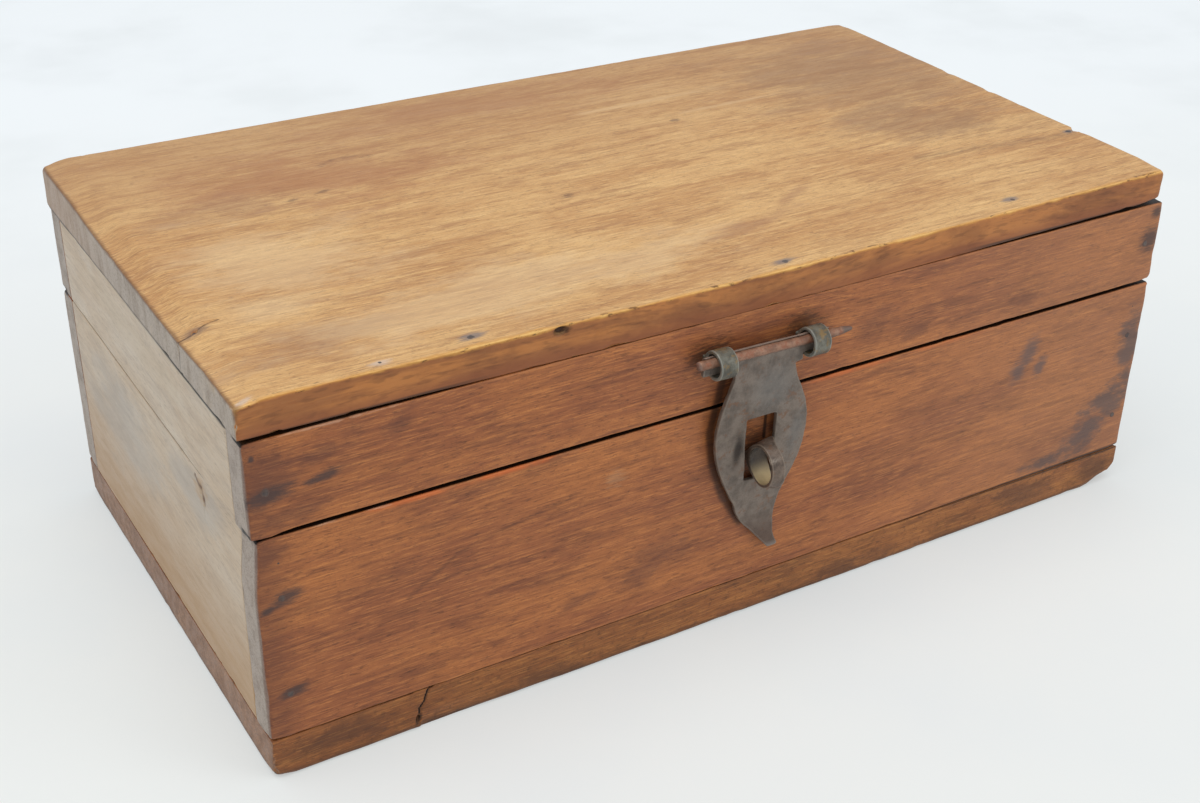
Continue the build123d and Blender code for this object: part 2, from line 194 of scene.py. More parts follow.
class Graph:
    """A material's nodes, made with short calls. Lengths in it are millimetres."""

    def __init__(self, name):
        self.material = bpy.data.materials.new(name)
        self.material.use_nodes = True
        self.tree = self.material.node_tree
        self.tree.nodes.clear()
        self.shader = self.add("ShaderNodeBsdfPrincipled")
        self.output = self.add("ShaderNodeOutputMaterial")
        self.tree.links.new(self.shader.outputs[0], self.output.inputs[0])
        coordinates = self.add("ShaderNodeTexCoord")
        scale = self.add("ShaderNodeVectorMath", coordinates.outputs["Object"], operation="SCALE")
        set_inputs(scale, {"Scale": 1 / MM})
        self.place = scale.outputs[0]
        self.x, self.y, self.z = self.split(self.place)
        self.plane = (self.x, self.z)
        self.facing = self.split(coordinates.outputs["Normal"])

    def add(self, kind, *values, **settings):
        """A new node with its settings and its first inputs."""
        node = self.tree.nodes.new(kind)
        for name, setting in settings.items():
            setattr(node, name, setting)
        for socket, value in zip(node.inputs, values):
            self.feed(socket, value)
        return node

    def feed(self, socket, value):
        if isinstance(value, bpy.types.NodeSocket):
            self.tree.links.new(value, socket)
        else:
            socket.default_value = value

    def math(self, operation, *values):
        return self.add("ShaderNodeMath", *values, operation=operation).outputs[0]

    def chain(self, operation, values):
        found = values[0]
        for value in values[1:]:
            found = self.math(operation, found, value)
        return found

    def times(self, *values):
        return self.chain("MULTIPLY", values)

    def most(self, *values):
        return self.chain("MAXIMUM", values)

    def less(self, first, second):
        return self.math("SUBTRACT", first, second)

    def scaled(self, value, factor, more):
        """value x factor + more."""
        return self.math("MULTIPLY_ADD", value, factor, more)

    def length(self, u, v):
        return self.math("SQRT", self.scaled(u, u, self.times(v, v)))

    def vector(self, operation, *values):
        return self.add("ShaderNodeVectorMath", *values, operation=operation).outputs[0]

    def split(self, vector):
        return self.add("ShaderNodeSeparateXYZ", vector).outputs[:3]

    def span(self, value, low, high, to_low=0, to_high=1):
        """Takes low..high smoothly to to_low..to_high, and holds it there outside."""
        ends = (low, high, to_low, to_high)
        return self.add("ShaderNodeMapRange", value, *ends, interpolation_type="SMOOTHSTEP").outputs[0]

    def noise(self, size, stretch=(1, 1, 1), detail=3, rough=0.55, seed=0, place=None):
        """Noise from 0 to 1 with grains about size across, drawn out by stretch."""
        scale = tuple(1 / (size * part) for part in stretch)
        moved = self.vector("MULTIPLY_ADD", place or self.place, scale, (seed, -seed, 2 * seed))
        node = self.add("ShaderNodeTexNoise", moved)
        set_inputs(node, {"Scale": 1, "Detail": detail, "Roughness": rough})
        return node.outputs["Fac"]

    def mix(self, share, first, second):
        """Colours are sRGB triples or sockets."""
        node = self.add("ShaderNodeMix", share, data_type="RGBA")
        for socket, tint in zip(node.inputs[6:8], (first, second)):
            self.feed(socket, colour(*tint) if isinstance(tint, tuple) else tint)
        return node.outputs[2]

    def lay(self, mask, tint, share, *where):
        """Covers what is painted so far where all the masks are."""
        self.shade = self.mix(self.times(mask, *where, share), self.shade, tint)

    def stain(self, edge, spots, tint, share, *where):
        """Lays ragged patches on the main plane."""
        self.lay(self.blots(self.plane, edge, spots), tint, share, *where)

    def stroke(self, points, width, soft, tint, share, *where):
        """Lays a drawn line on the main plane."""
        self.lay(self.line(*self.plane, points, width, soft), tint, share, *where)

    def attribute(self, name):
        return self.add("ShaderNodeAttribute", attribute_name=name).outputs["Fac"]

    def blot(self, first, second, centre, half, turn, edge):
        """A ragged patch over two coordinates: 1 in its middle, 0 outside, its outline moved by edge."""
        along = self.less(first, centre[0])
        across = self.less(second, centre[1])
        c, s = cos(radians(turn)), sin(radians(turn))
        u = self.scaled(across, s / half[0], self.times(along, c / half[0]))
        v = self.scaled(across, c / half[1], self.times(along, -s / half[1]))
        return self.span(self.math("ADD", self.length(u, v), edge), 1.15, 0.25)

    def line(self, first, second, points, width, soft):
        """1 along a drawn line, 0 away from it."""
        masks = []
        for (ax, ay), (bx, by) in zip(points, points[1:]):
            length = hypot(bx - ax, by - ay)
            ux, uy = (bx - ax) / length, (by - ay) / length
            dx = self.less(first, ax)
            dy = self.less(second, ay)
            along = self.scaled(dx, ux, self.times(dy, uy))
            off = self.scaled(dx, -uy, self.times(dy, ux))
            beyond = self.math("MAXIMUM", self.less(along, length), 0)
            before = self.math("MAXIMUM", self.times(along, -1), 0)
            gap = self.length(off, self.math("ADD", beyond, before))
            masks.append(self.span(gap, width + soft, width))
        return self.most(*masks)

    def blots(self, plane, edge, spots):
        """Several ragged patches as one mask. A spot is a centre, a half size and a turn."""
        return self.most(*[self.blot(*plane, *spot, edge) for spot in spots])

    def bump(self, height, distance, under=None):
        """Bump of that many millimetres."""
        node = self.add("ShaderNodeBump")
        set_inputs(node, {"Strength": 1, "Distance": distance * MM})
        self.feed(node.inputs["Height"], height)
        if under is not None:
            self.feed(node.inputs["Normal"], under)
        return node.outputs[0]

    def close(self, dull, height, relief):
        """Hands what is painted to the shader, with a fine bump over a broad one."""
        self.feed(self.shader.inputs["Base Color"], self.shade)
        self.feed(self.shader.inputs["Roughness"], dull)
        fine = self.bump(height, FINE_BUMP)
        self.feed(self.shader.inputs["Normal"], self.bump(self.patch, relief, fine))
        return self.material


# ---- Floor ----

FLOOR_HALF = 6000
FLOOR_NEAR = (238, 241, 240)
FLOOR_FAR = (247, 252, 255)
FLOOR_DULL = (232, 237, 239)
FLOOR_SELF = 0.48  # share of the floor that shows its own colour whatever falls on it


def make_floor():
    half = FLOOR_HALF
    points = [Vector((x, y, 0)) for x, y in ((-half, -half), (half, -half), (half, half), (-half, half))]
    floor = new_object("floor", points, [(0, 1, 2, 3)])
    graph = Graph("floor")
    depth = graph.scaled(graph.x, 0.35, graph.y)
    pale = graph.mix(graph.span(depth, -40, 520), FLOOR_NEAR, FLOOR_FAR)
    cloud = graph.span(graph.noise(150, detail=4), 0.42, 0.7, 0, 0.55)
    shade = graph.mix(cloud, pale, FLOOR_DULL)
    graph.feed(graph.shader.inputs["Base Color"], shade)
    set_inputs(graph.shader, {"Roughness": 0.55, "Specular IOR Level": 0.15})
    glow = graph.add("ShaderNodeEmission", shade)
    rays = graph.add("ShaderNodeLightPath")
    seen = graph.most(rays.outputs["Is Camera Ray"], rays.outputs["Is Glossy Ray"])
    share = graph.times(seen, FLOOR_SELF)
    both = graph.add("ShaderNodeMixShader", share, graph.shader.outputs[0], glow.outputs[0])
    graph.feed(graph.output.inputs[0], both.outputs[0])
    floor.data.materials.append(graph.material)


# ---- Wood ----

TINTS = ("base", "second", "mauve", "pale", "dark")
PALETTES = {
    "top_wood": ((216, 171, 114), (198, 148, 94), (162, 116, 82), (244, 206, 144), (124, 82, 52)),
    "front_wood": ((176, 109, 62), (154, 92, 57), (112, 69, 52), (216, 142, 80), (70, 41, 32)),
    "end_wood": ((206, 188, 166), (200, 176, 148), (176, 160, 148), (220, 204, 180), (138, 116, 96)),
    "bottom_wood": ((164, 104, 56), (142, 86, 47), (102, 68, 46), (206, 140, 74), (66, 42, 30)),
}
END_GRAIN_PALE = (172, 160, 148)
END_GRAIN_DARK = (112, 100, 90)
IRON_STAIN = (78, 68, 70)
BLUE_STAIN = (104, 104, 112)
# Dark brown: dirt in some places, painted shade in others (under the top board, beside the hasp, along the
# foot)
GRIME_AND_SHADE = (60, 42, 34)
# Near black, painted as the shade inside gaps and cracks and as a shadow line behind the hasp's slot
DEEP = (22, 14, 10)
FRONT_Y = -82.5
END_X = 152.5
FOOT_SEAM = 13  # height of the gap over the bottom board
FRONT_SKIN = (-80.5, -81.6)  # where the front's outer face begins
TINY = 1e-6
PLANED = 0.2  # depth of the hand plane's waves
TIGHT = 0.05  # edge radius where two boards still meet
FOOT_SHUT = (-104, 0)  # stretch of the front where the bottom board meets the wall
LID_SHUT_MIDDLE = -8
LID_SHUT_HALF = 70  # half the stretch where the top board meets the rail
LID_EYE_REACH = 4.5  # from a lid eye's outermost point to its middle


class Wood(Graph):
    """Wood whose grain runs along one axis. Marks are laid over self.shade, and then it is closed."""

    def __init__(self, name, slot, along, seed, figure=1, end_share=0.9, height_share=1):
        super().__init__(name)
        palette = dict(zip(TINTS, PALETTES[slot]))
        self.along = along
        self.seed = seed
        drift = self.scaled(self.noise(120, detail=1, seed=seed + 3), 5, -2.5)
        shifts = [0 if axis == along else drift for axis in range(3)]
        level = self.vector("MULTIPLY", self.place, (1, 1, height_share))
        self.wavy = self.vector("ADD", level, self.add("ShaderNodeCombineXYZ", *shifts).outputs[0])
        self.cloud = self.drawn(18, 60, 5, 0.62, 1)
        self.patch = self.drawn(4, 20, 5, 0.66, 2)
        self.streak = self.drawn(1, 36, 4, 0.6, 4)
        self.fibre = self.drawn(0.36, 6, 2, 0.5, 5)
        self.pores = self.drawn(0.42, 2.6, 2, 0.5, 6)
        self.speck = self.noise(0.62, detail=2, rough=0.6, seed=seed + 7)
        shade = self.mix(self.span(self.cloud, 0.38, 0.62), palette["base"], palette["second"])
        for figuring, low, high, share, tint in (
            (self.patch, 0.47, 0.66, 0.46, "mauve"),
            (self.streak, 0.5, 0.68, 0.26, "pale"),
            (self.streak, 0.5, 0.32, 0.26, "mauve"),
            (self.fibre, 0.54, 0.68, 0.4, "pale"),
            (self.fibre, 0.45, 0.31, 0.32, "dark"),
            (self.speck, 0.53, 0.7, 0.3, "mauve"),
            (self.pores, 0.6, 0.68, 0.4, "dark"),
        ):
            shade = self.mix(self.span(figuring, low, high, 0, share * figure), shade, palette[tint])
        self.across = self.span(self.math("ABSOLUTE", self.facing[along]), 0.55, 0.9)
        grain = self.span(self.noise(0.55, detail=3, rough=0.7, seed=seed + 9), 0.45, 0.68)
        grey = self.mix(self.times(grain, 0.6), END_GRAIN_PALE, END_GRAIN_DARK)
        grey = self.mix(self.span(self.patch, 0.45, 0.7, 0, 0.4), grey, END_GRAIN_DARK)
        self.shade = self.mix(self.times(self.across, end_share), shade, grey)
        self.rim = self.attribute("rim")
        fray = self.noise(1.1, self.stretch(5), 5, 0.75, seed + 11)
        self.fray = self.scaled(fray, 3.6, -1.8)
        self.dull = self.span(self.patch, 0.35, 0.65, 0.38, 0.52)

    def stretch(self, ratio):
        return [ratio if axis == self.along else 1 for axis in range(3)]

    def drawn(self, size, length, detail, rough, more):
        return self.noise(size, self.stretch(length / size), detail, rough, self.seed + more, self.wavy)

    def clouds(self, size, strength, more):
        """A soft ragged edge for large patches."""
        waves = self.noise(size, self.stretch(2.2), 6, 0.7, self.seed + more)
        return self.scaled(waves, 2 * strength, -strength)

    def finish(self):
        set_inputs(self.shader, {"Specular IOR Level": 0.28})
        height = self.scaled(self.fibre, 0.6, self.times(self.streak, 0.4))
        height = self.scaled(self.span(self.pores, 0.6, 0.7), -0.5, height)
        return self.close(self.dull, height, 0.14)


# Marks and nails: a pair is x, y on the top board, y, z on an end and x, z elsewhere
NAIL_CHECK = (-148.2, -42)  # a nail that stands in a check of the top board's left end
SLOT_SHADOW_LINE = ((0.5, 68.6), (0.2, 60.5))  # a painted shadow line on the front board, seen through the hasp's slot
GRAIN_CHECK = ((-156, -43.9), (-149.5, -42.6), (-146.2, -41.2), (-141.2, -39.6))
TOP_KNOT = ((-80, 41.6), (-75, 44), (-69, 44.4), (-63.5, 42.6))
TOP_SCRATCH = ((89, -37.4), (112, -40.4), (146, -45.4))
FRONT_FIGURE = ((-112, 44), (-98, 53), (-82, 57), (-62, 60))
END_KNOT = ((-40.8, 71.6), (-44.4, 69.2), (-46.4, 65.6))
FLOOR_CRACK = (
    (-105.8, 13.4), (-107.6, 12.4), (-108.4, 10.4), (-108.9, 8.6), (-110.4, 6.8), (-110.5, 5),
)
CRACK_HOLE = (-110.8, 3.2)  # where the bottom board's crack ends
OLD_HOLE = (-66.6, 110.7)  # empty nail hole in the top board's front edge
# Where the hasp's left edge throws a painted shadow on the wood and rubs it dark
HASP_SHADOW_LINE = ((-14.2, 88), (-16, 80), (-18.8, 67), (-17.6, 57), (-13.4, 45), (-6.6, 34))
BODY_NAILS = tuple((x, z) for x in (-146, 146.4) for z in (67, 56.5, 26.6))
BODY_BACK_NAILS = tuple((-x, z) for x, z in BODY_NAILS)
BODY_NAIL_SIZES = (0.24, 0.9, 0.9)
LID_FRONT_NAILS = ((-147.6, 87.8), (146.7, 89.2))
LID_BACK_NAILS = ((-147, 88.5), (147, 88.5))
HINGE_X = 95
BODY_SEAM = 75  # height of the joint between body and lid
BODY_SEAM_GAP = (73.6, 76.4)  # reach of its painted shade


def top_wood():
    """The top board: honey-brown, greyer at the back, with a worn golden rim along the front."""
    wood = Wood("top_wood", "top_wood", 0, 0, height_share=0.3)
    x, y, z, fray = wood.x, wood.y, wood.z, wood.fray
    lay, span, stain, times = wood.lay, wood.span, wood.stain, wood.times
    wood.plane = (x, y)
    up = span(wood.facing[2], 0.5, 0.9)
    cloud = wood.clouds(13, 1.5, 13)
    for tint, share, spots in (
        ((146, 108, 78), 0.36, [((116, -14), (34, 22), 0), ((120, 46), (54, 32), 0)]),
        ((150, 112, 82), 0.42, [((116, 24), (54, 60), 10)]),
        ((164, 104, 70), 0.5, [((-84, 36), (48, 24), -8), ((-20, 66), (70, 12), 0)]),
        ((146, 104, 80), 0.4, [((-112, 24), (24, 9), 0), ((-126, -62), (22, 10), 10)]),
        ((226, 196, 154), 0.38, [((-116, -18), (30, 34), 20), ((-70, -58), (80, 16), 4)]),
        ((150, 96, 68), 0.45, [((-72, 43.5), (11, 4.5), 4)]),
        ((152, 102, 74), 0.45, [((14, -54), (18, 4), 10), ((36, -42), (14, 3), 26)]),
        ((236, 200, 150), 0.45, [((30, 44), (40, 1.4), 1), ((64, 30), (30, 1.2), 1)]),
    ):
        stain(cloud, spots, tint, share)
    lay(span(y, -10, 90), (168, 126, 90), 0.46)
    wood.stroke(TOP_SCRATCH, 0.2, 3.4, (110, 80, 60), 0.5, up, span(fray, -0.9, 0.8))
    wood.stroke(TOP_KNOT, 0.1, 1.7, (112, 72, 56), 0.6, up, span(fray, -0.8, 0.8))
    dots = [((37.8, 25.1), (1.8, 1.6), 0), ((-86.6, 23.4), (2.6, 0.9), 10),
            ((-97, 21.5), (2.2, 0.9), 10), ((-24.4, -12), (2.6, 1.6), 0)]
    stain(fray, dots, (96, 70, 58), 0.55, up)
    calm = times(fray, 0.45)
    nails = [((-89.4, -77.1), (5.2, 2), 4), ((6, -77.9), (5.4, 1.7), 4),
             ((91.2, -75.8), (4.2, 1.7), 4), ((147, -43.6), (3.4, 1.6), 0)]
    stain(calm, nails, BLUE_STAIN, 0.72, up)
    # A pale smear round a nail, and a painted highlight on the front left corner
    bright = [((-115, -79.2), (3.8, 1.5), 4), ((-150.6, -80.8), (3.6, 1.3), 20)]
    stain(calm, bright, (216, 202, 192), 0.5, span(z, 110, 111.6))
    stain(calm, [((-148.4, -42.4), (4.8, 2.4), 8)], (116, 92, 84), 0.7, up)
    # The check is painted near black: painted shade in the crack, on the top and down the board's end
    check = wood.line(x, y, GRAIN_CHECK, 0.05, 0.38)
    lay(check, DEEP, 0.75, up, span(fray, -0.8, 0.3))
    lay(check, DEEP, 0.6, wood.across, span(z, 103.4, 105))
    face = span(wood.facing[1], -0.45, -0.85)
    ruddy = wood.mix(span(wood.streak, 0.42, 0.58), (152, 92, 50), (182, 114, 58))
    ruddy = wood.mix(span(wood.patch, 0.45, 0.66, 0, 0.45), ruddy, (112, 66, 42))
    ruddy = wood.mix(span(wood.fibre, 0.48, 0.34, 0, 0.35), ruddy, (84, 50, 32))
    lay(face, ruddy, 0.92)
    lay(face, (136, 78, 50), 0.62, span(z, 107.6, 103.4))
    open_gap = wood.most(times(face, front_ends(wood)), wood.across)
    # Painted shade along the foot of the top board where the gap under it opens
    lay(span(z, 103.9, 103.2), GRIME_AND_SHADE, 0.8, open_gap)
    broad = wood.scaled(wood.noise(7, (2, 1, 1), 4, 0.65, 5), 3.6, -1.8)
    gap = wood.math("ADD", wood.scaled(fray, 0.6, wood.rim), broad)
    front_rim = times(span(y, -79.2, -81), span(z, 109.4, 111.2))
    lay(span(gap, 1.5, 0.4), (214, 156, 78), 0.62, front_rim)
    lay(span(gap, 0.6, -0.4), (244, 202, 122), 0.62, front_rim)
    pits = span(wood.noise(1.5, (3, 1, 1), 4, 0.7, 8), 0.58, 0.66)
    lay(pits, (92, 58, 34), 0.75, front_rim, span(wood.rim, 2, 1))
    left_rim = times(span(x, -150, -152.4), span(z, 107, 109.5))
    edge_gap = wood.scaled(broad, 0.4, wood.rim)
    lay(span(edge_gap, 1.6, 0.3), (110, 74, 48), 0.66, left_rim)
    hole = wood.blot(x, z, OLD_HOLE, (3, 1.7), 0, times(fray, 0.35))
    lay(hole, (52, 32, 22), 0.92, span(y, -79, -81))
    return wood.finish()


def front_ends(wood):
    """The two stretches of the front where the lid's boards have parted."""
    return wood.most(wood.span(wood.x, -80, -104), wood.span(wood.x, 62, 84))


def shaded_gap(wood, inward, low, high, *where):
    """Painted shade in a narrow gap: dark between two heights, just behind the outer face."""
    span, times, z = wood.span, wood.times, wood.z
    height = times(span(z, low - 0.15, low + 0.1), span(z, high + 0.15, high - 0.1))
    depth = times(span(inward, 0.35, 0.9), span(inward, 7.5, 4.5))
    wood.lay(height, DEEP, 0.96, depth, *where)


def foot_gap(wood):
    """Where the gap over the bottom board is open: at the left up to the crack, and at the right."""
    open_left = wood.span(wood.x, -100, -112)
    open_right = wood.span(wood.x, 2, 40)
    between = wood.span(wood.noise(14, detail=2, seed=4), 0.54, 0.68, 0, 0.5)
    return wood.most(open_left, open_right, between)


def front_wood():
    """The front: reddish brown, with blue-black stains round the nails and at the right end."""
    wood = Wood("front_wood", "front_wood", 0, 11)
    x, y, z, fray = wood.x, wood.y, wood.z, wood.fray
    lay, span, stain, times = wood.lay, wood.span, wood.stain, wood.times
    outside = span(y, *FRONT_SKIN)
    cloud = wood.clouds(5, 1.6, 13)
    lay(span(x, 10, 130), (172, 128, 96), 0.26, outside)
    stain(cloud, [
        ((-146, 92), (9, 8), 0), ((-132, 95), (13, 4), 14), ((-112, 98), (6, 3.5), 30),
        ((-141, 80), (11, 2.6), 4), ((-148, 69.6), (6, 3), 10), ((-62, 24), (8, 2.6), 10),
        ((-36, 30), (14, 8), 20), ((36, 88), (10, 4.5), 0), ((52, 80), (7, 2.6), 0), ((98, 82), (7, 3), 0),
    ], (96, 60, 50), 0.46, outside)
    lay(span(wood.scaled(cloud, 3, x), -141, -150), (96, 58, 46), 0.45, outside)
    calm = times(fray, 0.5)
    stain(calm, [
        ((-147, 86.6), (8.4, 3.4), 10), ((-133, 87.8), (6.4, 2), 12), ((-150.2, 97.8), (0.9, 1.2), 0),
        ((-144.8, 56.2), (5.4, 2.8), 20), ((-149.8, 53.8), (3, 1.4), 20), ((-145, 26.8), (5.4, 2.2), 8),
        ((148.4, 90), (5.4, 5.8), 0), ((149.6, 99.2), (3, 2.4), 0),
    ], (72, 57, 55), 0.86, outside)
    stain(calm, [
        ((102.6, 61.4), (4, 7.2), -24), ((98.8, 55.4), (4, 5.4), -20), ((108.2, 55), (3, 4.6), -24),
    ], (88, 80, 82), 0.66, outside)
    stain(cloud, [
        ((149, 49), (6, 20), 8), ((144, 33), (10, 9), 30), ((134, 23), (14, 7), 36),
        ((118, 16.6), (13, 3.4), 6),
    ], (82, 74, 75), 0.74, outside)
    # Painted shadow seen through the hasp's slot
    wood.stroke(SLOT_SHADOW_LINE, 0.3, 0.5, DEEP, 0.8, outside)
    stain(fray, [((-49, 61.7), (3.6, 3), 20)], (184, 142, 104), 0.36, outside)
    wood.stroke(FRONT_FIGURE, 0.1, 1.1, (84, 52, 42), 0.55, outside, span(fray, -0.8, 0.6))
    lip = times(span(z, 72.7, 74.2), span(z, 75.1, 74.8), outside)
    bare = span(wood.noise(7, (3, 1, 1), 4, 0.65, 8), 0.44, 0.6)
    reach = times(span(x, -140, -100), span(x, 90, -10, 0.25, 1))
    lay(lip, (220, 108, 48), 0.78, bare, reach)
    chips = [((-133.5, 74.4), (3.6, 0.5), 0), ((-119, 74.5), (4.4, 0.5), 0), ((-130, 102), (16, 0.5), 0)]
    stain(fray, chips, (216, 176, 148), 0.5, outside)
    worn = span(wood.math("ADD", wood.rim, fray), 0.7, 0.1)
    lay(worn, (190, 128, 84), 0.3, outside, span(x, -146, -138))
    # Dark patches round the hasp's eyes and the lock eye
    halos = [((-20.4, 91.6), (8.6, 6.4), 0), ((11.6, 92.4), (7.4, 6.6), 0), ((-4, 57), (6.6, 10.5), 0)]
    stain(fray, halos, GRIME_AND_SHADE, 0.68, outside)
    # Painted shadow with rub dirt beside the hasp's left edge
    wood.stroke(HASP_SHADOW_LINE, 0.5, 1.7, GRIME_AND_SHADE, 0.78, outside)
    # Painted shade in the gap over the bottom board: a dark line where it is open
    thick = span(x, 30, 150, 0.25, 1.1)
    low = wood.math("ABSOLUTE", wood.less(z, FOOT_SEAM))
    crack = span(wood.math("DIVIDE", low, thick), 1.4, 0.6)
    lay(crack, DEEP, 0.85, foot_gap(wood), outside)
    inward = wood.less(y, FRONT_Y)
    shaded_gap(wood, inward, *BODY_SEAM_GAP)
    shaded_gap(wood, inward, 101.2, 103.6, front_ends(wood))
    return wood.finish()


def back_wood():
    """The back and its rail: the front's wood with fewer marks."""
    wood = Wood("back_wood", "front_wood", 0, 23)
    fray = wood.fray
    outside = wood.span(wood.y, 80.5, 81.6)
    dark = [((-120, 40), (26, 12), 10), ((20, 56), (34, 6), -6), ((70, 22), (30, 6), 4),
            ((130, 88), (16, 7), 0)]
    wood.stain(wood.clouds(6, 1.6, 13), dark, (96, 60, 50), 0.45, outside)
    nails = BODY_NAILS + LID_BACK_NAILS
    wood.stain(fray, [(nail, (4.2, 2.2), 12) for nail in nails], IRON_STAIN, 0.6, outside)
    hinges = [((side, BODY_SEAM), (18, 17), 0) for side in (-HINGE_X, HINGE_X)]
    wood.stain(fray, hinges, IRON_STAIN, 0.5, outside)
    shaded_gap(wood, wood.less(-FRONT_Y, wood.y), *BODY_SEAM_GAP)
    return wood.finish()


def end_wood():
    """The ends: paler and greyer, with a knot near the left one's upper edge."""
    wood = Wood("end_wood", "end_wood", 1, 31, 0.75)
    y, z = wood.y, wood.z
    span, stain = wood.span, wood.stain
    wood.plane = (y, z)
    out = wood.math("ABSOLUTE", wood.x)
    outside = span(out, 150.2, 151.8)
    left = span(wood.x, -100, -110)
    cloud = wood.clouds(14, 1.2, 6)
    wood.lay(span(z, 62, 14), (178, 136, 88), 0.72, outside)
    stain(cloud, [((30, 52), (44, 18), 0), ((-40, 66), (24, 10), 0)], (172, 164, 156), 0.5, outside)
    stain(cloud, [((0, 92), (60, 6), 0)], (192, 168, 136), 0.3, outside)
    stain(wood.fray, [((-44, 69.2), (5, 5.4), 8)], (186, 148, 104), 0.5, outside, left)
    wood.stroke(END_KNOT, 0.15, 1, (96, 62, 42), 0.75, outside, left)
    shaded_gap(wood, wood.less(END_X, out), 73.9, 75.4)
    # Painted shade of the gap under the top board at the left end
    wood.lay(span(z, 100.8, 101.6), DEEP, 0.92, span(y, 40, -40), left)
    return wood.finish()


def bottom_wood():
    """The bottom board: orange-brown, dirty and broken along its foot."""
    wood = Wood("bottom_wood", "bottom_wood", 0, 47, 1, 0.25)
    x, y, z, fray = wood.x, wood.y, wood.z, wood.fray
    lay, span, times = wood.lay, wood.span, wood.times
    outside = span(y, *FRONT_SKIN)
    dark = [((-132, 7), (18, 5), 0), ((108, 6), (16, 6), 0), ((140, 7), (8, 7), 0),
            ((-70, 3), (16, 3), 0), ((40, 4), (18, 3), 0)]
    wood.stain(wood.clouds(5, 1.6, 13), dark, (78, 50, 38), 0.55, outside)
    spots = span(wood.noise(1.8, detail=4, rough=0.7, seed=9), 0.54, 0.66)
    lay(spots, (84, 52, 34), 0.4, outside)
    lay(wood.across, (112, 84, 62), 0.5, span(wood.speck, 0.4, 0.7))
    # Darker towards the foot: painted contact shadow with dirt along the floor
    lay(span(wood.scaled(fray, 0.8, z), 3, 0.4), GRIME_AND_SHADE, 0.6)
    # The crack and its hole are painted near black: painted shade in them
    crack = wood.line(x, z, FLOOR_CRACK, 0.16, 0.26)
    hole = wood.blot(x, z, CRACK_HOLE, (1.1, 2.4), -24, times(fray, 0.15))
    lay(wood.most(times(crack, outside), times(hole, outside)), DEEP, 0.95)
    # Painted shade of the open gap along the bottom board's upper edge
    thick = span(x, 30, 150, 0.2, 0.9)
    line = span(wood.math("DIVIDE", wood.less(FOOT_SEAM, z), thick), 1.3, 0.5)
    edge_on = span(wood.facing[2], 0.9, 0.6)
    lay(line, DEEP, 0.8, foot_gap(wood), edge_on)
    return wood.finish()


# ---- Boards ----

BOARD_STEP = 3
RIM_SHARES = (0, 0.08, 0.2, 0.35, 0.55, 0.78, 1)


def ticks(low, high, rim, extra):
    """Coordinates from low to high, crowded into both rims and about BOARD_STEP apart between."""
    count = max(1, round((high - low - 2 * rim) / BOARD_STEP))
    middle = [low + rim + (high - low - 2 * rim) * i / count for i in range(1, count)]
    edges = [low + rim * share for share in RIM_SHARES] + [high - rim * share for share in RIM_SHARES]
    found = []
    for value in sorted([*middle, *edges, *extra]):
        if low <= value <= high and (not found or value - found[-1] > 0.05):
            found.append(value)
    found[-1] = high
    return found


def shell(xs, ys, zs):
    """Points and faces of the skin of a lattice."""
    sizes = (len(xs), len(ys), len(zs))
    places = (xs, ys, zs)
    index, points, faces = {}, [], []

    def corner(key):
        if key not in index:
            index[key] = len(points)
            points.append(Vector([places[axis][key[axis]] for axis in range(3)]))
        return index[key]

    for axis in range(3):
        one, two = (axis + 1) % 3, (axis + 2) % 3
        for level in (0, sizes[axis] - 1):
            for i in range(sizes[one] - 1):
                for j in range(sizes[two] - 1):
                    ring = []
                    for di, dj in ((0, 0), (1, 0), (1, 1), (0, 1)):
                        key = [0, 0, 0]
                        key[axis], key[one], key[two] = level, i + di, j + dj
                        ring.append(corner(tuple(key)))
                    faces.append(ring if level else ring[::-1])
    return points, faces


def board(node, body, material, roundness, rim=2.4, sink=None, warp=None,
          extra=((), (), ()), calm=(), seed=0, nick=0.2):
    """A board as a fine skin over its CAD box, with worn edges and a hand-planed surface.

    roundness gives the edge radius at a point, sink how deep the wood is cut there, warp moves the
    finished point, and calm lists the nails round which the surface stays flat."""
    low, high = box_mm(node)
    lattice = [ticks(low[a], high[a], rim, extra[a]) for a in range(3)]
    points, faces = shell(*lattice)
    rims = []
    shaped = []
    for point in points:
        edge_gap = sorted(min(point[a] - low[a], high[a] - point[a]) for a in range(3))[1]
        rims.append(edge_gap)
        radius = roundness(point)
        radius *= 1 + 0.3 * wander(point, 14, seed) + 0.2 * wander(point, 4, seed + 1)
        core = Vector([min(max(point[a], low[a] + radius), high[a] - radius) for a in range(3)])
        out = point - core
        depth = PLANED * (0.5 + 0.5 * wander(point, 34, seed + 5))
        depth += 0.3 * PLANED * (0.5 + 0.5 * wander(point, 9, seed + 9))
        for nail in calm:
            depth *= ease((point - nail).length, 2.5, 9)
        chip = ease(wander(point, 2.6, seed + 2), 0.25, 0.6) * (0.2 + 0.8 * ease(point.y, 72, 50))
        depth += nick * chip * ease(edge_gap, 1.6, 0.4)
        if sink:
            depth += sink(*point)
        place = core + out.normalized() * (radius - depth) if out.length > TINY else point
        shaped.append(warp(*place) if warp else place)
    piece = new_object(node + "_worn", shaped, faces)
    point_values(piece.data, "rim", rims)
    stand_for(piece, node, body, material)


TOP_FRONT_MID = 112  # upper front arris at the middle
TOP_FRONT_END = 113.2  # and at both corners
TOP_LIFT = 1  # how far the front corners have lifted off the rail
TOP_NAILS = (  # place, share of the head's radius, how deep the head is sunk
    (-115, -79, 0.5, 0.04),
    (-89.7, -77.1, 1, 0.04),
    (6.6, -77.9, 0.9, 0.04),
    (92, -76, 0.7, 0.04),
    (-148.3, -41.9, 0.5, 1.7),
    (146.8, -43.4, 1, 0.04),
)


